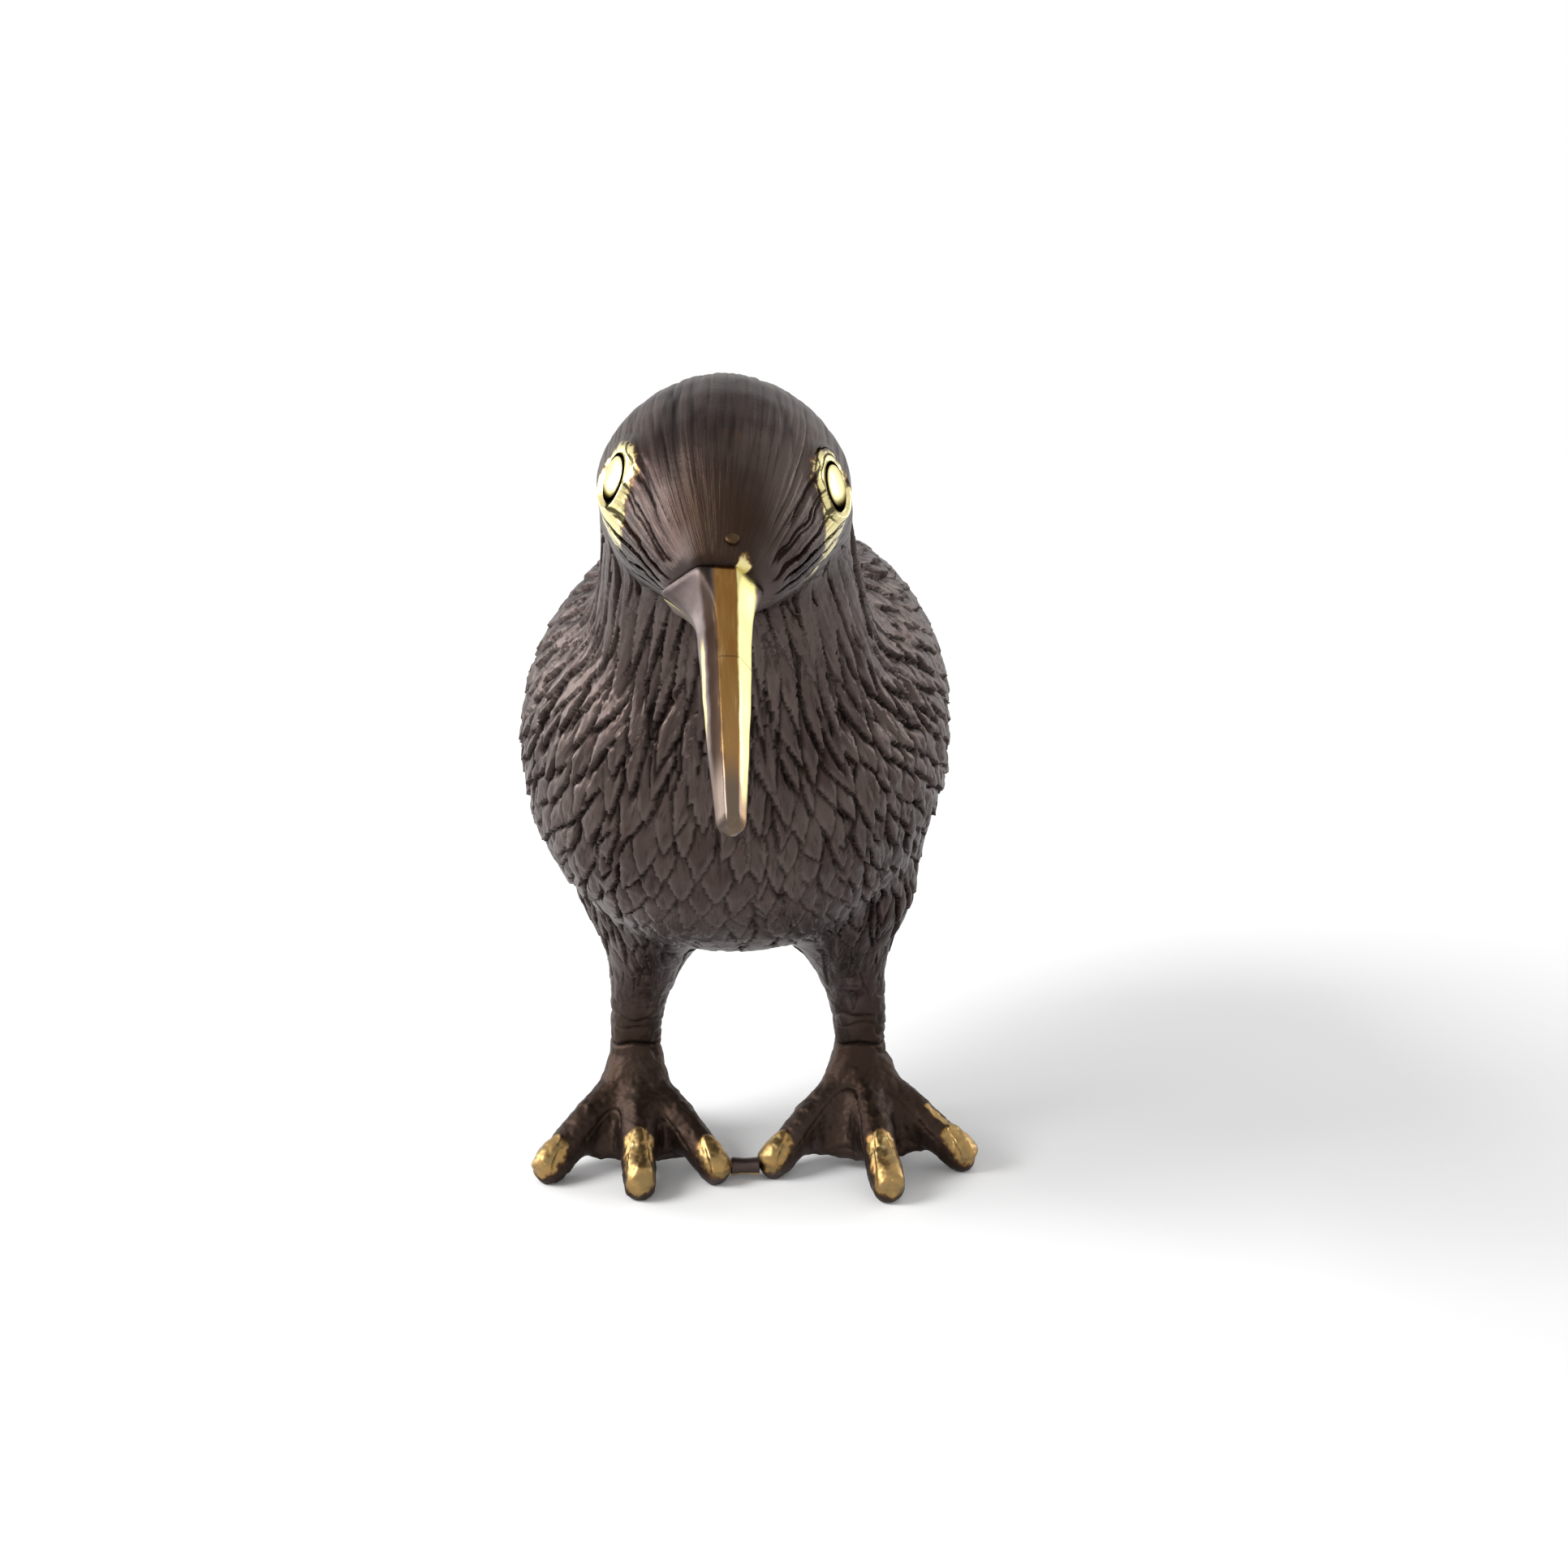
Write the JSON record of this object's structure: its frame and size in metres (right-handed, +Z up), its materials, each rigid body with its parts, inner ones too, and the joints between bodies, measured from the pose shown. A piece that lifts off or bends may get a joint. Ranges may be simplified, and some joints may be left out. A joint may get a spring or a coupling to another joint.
{
  "type": "bronze kiwi figurine",
  "caption": "Small standing kiwi in dark patinated bronze, with polished brass bill, eyes and toe ends, cast in pinned parts.",
  "frame": {"origin": "on the floor, below the middle of the figurine's bounding box", "axes": "+Z up, -Y the way the bird faces, +X the bird's own left"},
  "size_m": [0.0598, 0.1296, 0.1145],
  "materials": {
    "patinated_bronze": "dark brown patina, satin",
    "polished_brass": "polished",
    "bare_bronze": "filed flush",
    "fired_clay": "matt, porous"
  },
  "bodies": {
    "root": {"body_casting": "patinated_bronze", "head_casting": "patinated_bronze", "neck_pin": "bare_bronze", "upper_bill": "polished_brass", "lower_bill": "polished_brass", "bill_pin": "polished_brass", "clay_core": "fired_clay", "core_hole_plug": "bare_bronze", "toe_bridge": "polished_brass", "core_pin_back": "bare_bronze", "core_pin_rump": "bare_bronze", "core_pin_left": "bare_bronze", "core_pin_right": "bare_bronze", "left_eye": "polished_brass", "left_leg": "patinated_bronze", "left_hip_pin": "bare_bronze", "left_foot": "patinated_bronze", "left_ankle_pin": "bare_bronze", "right_eye": "polished_brass", "right_leg": "patinated_bronze", "right_hip_pin": "bare_bronze", "right_foot": "patinated_bronze", "right_ankle_pin": "bare_bronze"}
  },
  "joints": []
}
